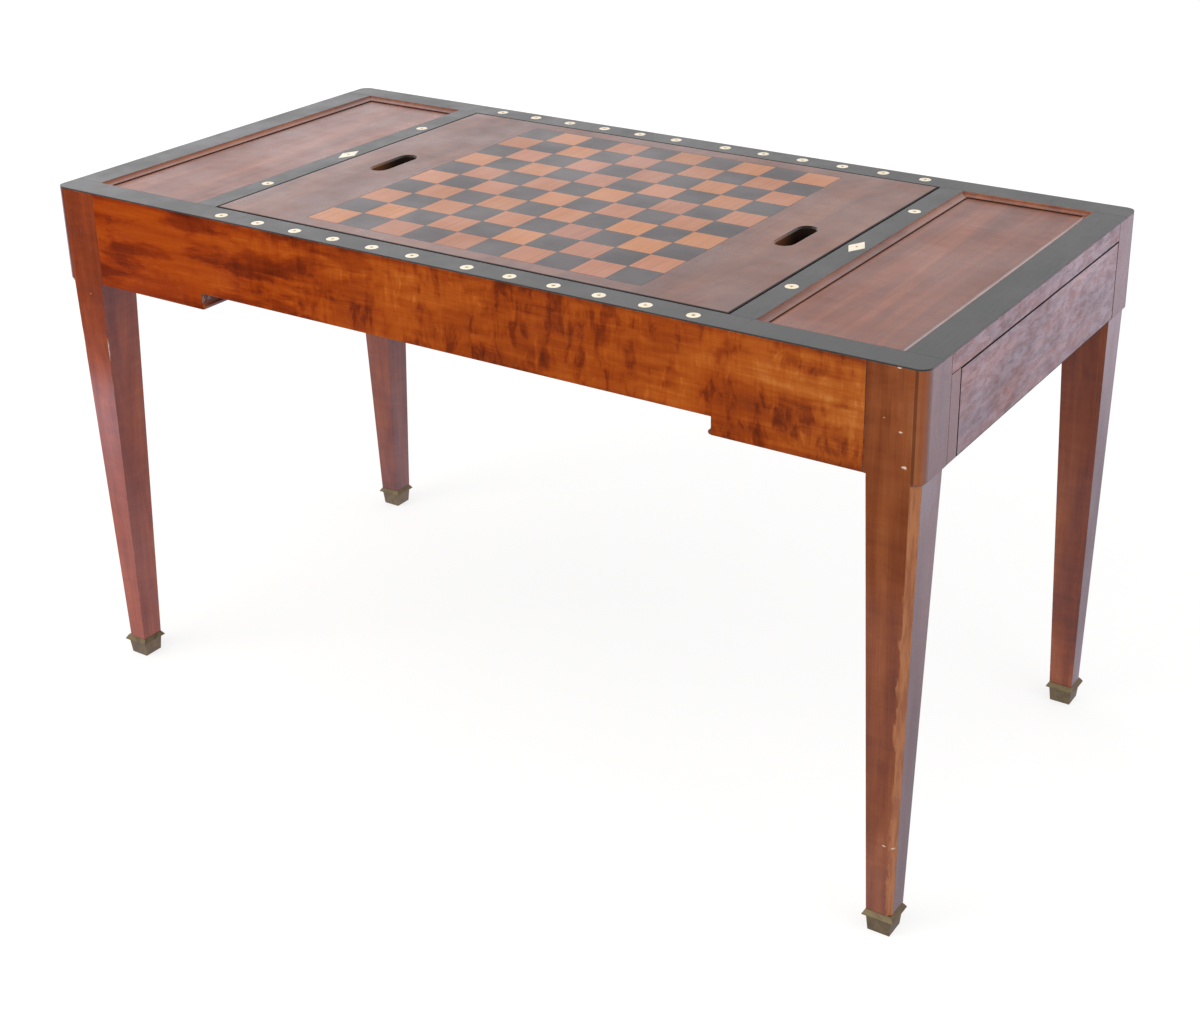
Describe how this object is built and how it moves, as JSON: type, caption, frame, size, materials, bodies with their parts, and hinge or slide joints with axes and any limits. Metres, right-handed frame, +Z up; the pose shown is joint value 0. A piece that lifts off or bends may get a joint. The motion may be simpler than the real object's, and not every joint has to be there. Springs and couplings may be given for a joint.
{
  "type": "tric trac table",
  "caption": "Games table with a lift-out draughts panel over a well for tric trac, end trays, end drawers, tapered legs and brass sabots.",
  "frame": {"origin": "on the floor under the middle of the table", "axes": "+X along the length to the right, +Z up; the front faces -Y"},
  "size_m": [1.22, 0.61, 0.69],
  "materials": {
    "figured_mahogany": "flame-figured orange-brown mahogany veneer, old wax polish",
    "leg_mahogany": "straight-grained red-brown mahogany, worn along the arrises",
    "panel_mahogany": "darker, greyer mahogany, satin",
    "carcass_oak": "unpolished oak of the drawers and runners",
    "ebonised_border": "black-stained wood, satin",
    "chequer_dark": "black-stained veneer of the dark squares",
    "chequer_light": "pale veneer of the light squares",
    "black_lacquer": "polished black",
    "bone": "polished bone",
    "green_bone": "green-stained bone of half the points",
    "aged_brass": "dull old brass"
  },
  "bodies": {
    "root": {"bone_lozenge_left": "bone", "bone_lozenge_right": "bone", "border_back": "ebonised_border", "border_cross_left": "ebonised_border", "border_cross_right": "ebonised_border", "border_end_left": "ebonised_border", "border_end_right": "ebonised_border", "border_front": "ebonised_border", "compartment_wall_left": "leg_mahogany", "compartment_wall_right": "leg_mahogany", "drawer_kicker_left_far": "carcass_oak", "drawer_kicker_left_near": "carcass_oak", "drawer_kicker_right_far": "carcass_oak", "drawer_kicker_right_near": "carcass_oak", "drawer_runner_left_far": "carcass_oak", "drawer_runner_left_near": "carcass_oak", "drawer_runner_right_far": "carcass_oak", "drawer_runner_right_near": "carcass_oak", "end_rail_left": "figured_mahogany", "end_rail_right": "figured_mahogany", "end_stile_left": "figured_mahogany", "end_stile_right": "figured_mahogany", "kneehole_moulding_left": "leg_mahogany", "kneehole_moulding_right": "leg_mahogany", "leg_back_left": "leg_mahogany", "leg_back_right": "leg_mahogany", "leg_front_left": "leg_mahogany", "leg_front_right": "leg_mahogany", "rail_back": "figured_mahogany", "rail_front": "figured_mahogany", "sabot_back_left": "aged_brass", "sabot_back_right": "aged_brass", "sabot_front_left": "aged_brass", "sabot_front_right": "aged_brass", "tray_moulding_left": "panel_mahogany", "tray_moulding_right": "panel_mahogany", "tray_panel_left": "panel_mahogany", "tray_panel_right": "panel_mahogany", "well_divider": "black_lacquer", "well_floor": "black_lacquer", "well_foot_moulding_back": "black_lacquer", "well_foot_moulding_front": "black_lacquer", "well_lining_back": "black_lacquer", "well_lining_front": "black_lacquer", "well_lining_left": "black_lacquer", "well_lining_right": "black_lacquer"},
    "games_panel": {"games_panel": "panel_mahogany", "chequer_field": "chequer_dark"},
    "drawer_right": {"drawer_back_right": "carcass_oak", "drawer_bottom_right": "carcass_oak", "drawer_front_right": "figured_mahogany", "drawer_side_right_far": "carcass_oak", "drawer_side_right_near": "carcass_oak"},
    "drawer_left": {"drawer_back_left": "carcass_oak", "drawer_bottom_left": "carcass_oak", "drawer_front_left": "figured_mahogany", "drawer_side_left_far": "carcass_oak", "drawer_side_left_near": "carcass_oak"}
  },
  "joints": [
    {"name": "games_panel_lift", "type": "slide", "parent": "root", "child": "games_panel", "axis": [0, 0, 1], "range_m": [0, 0.2]},
    {"name": "drawer_right_slide", "type": "slide", "parent": "root", "child": "drawer_right", "axis": [1, 0, 0], "range_m": [0, 0.13]},
    {"name": "drawer_left_slide", "type": "slide", "parent": "root", "child": "drawer_left", "axis": [-1, 0, 0], "range_m": [0, 0.13]}
  ]
}
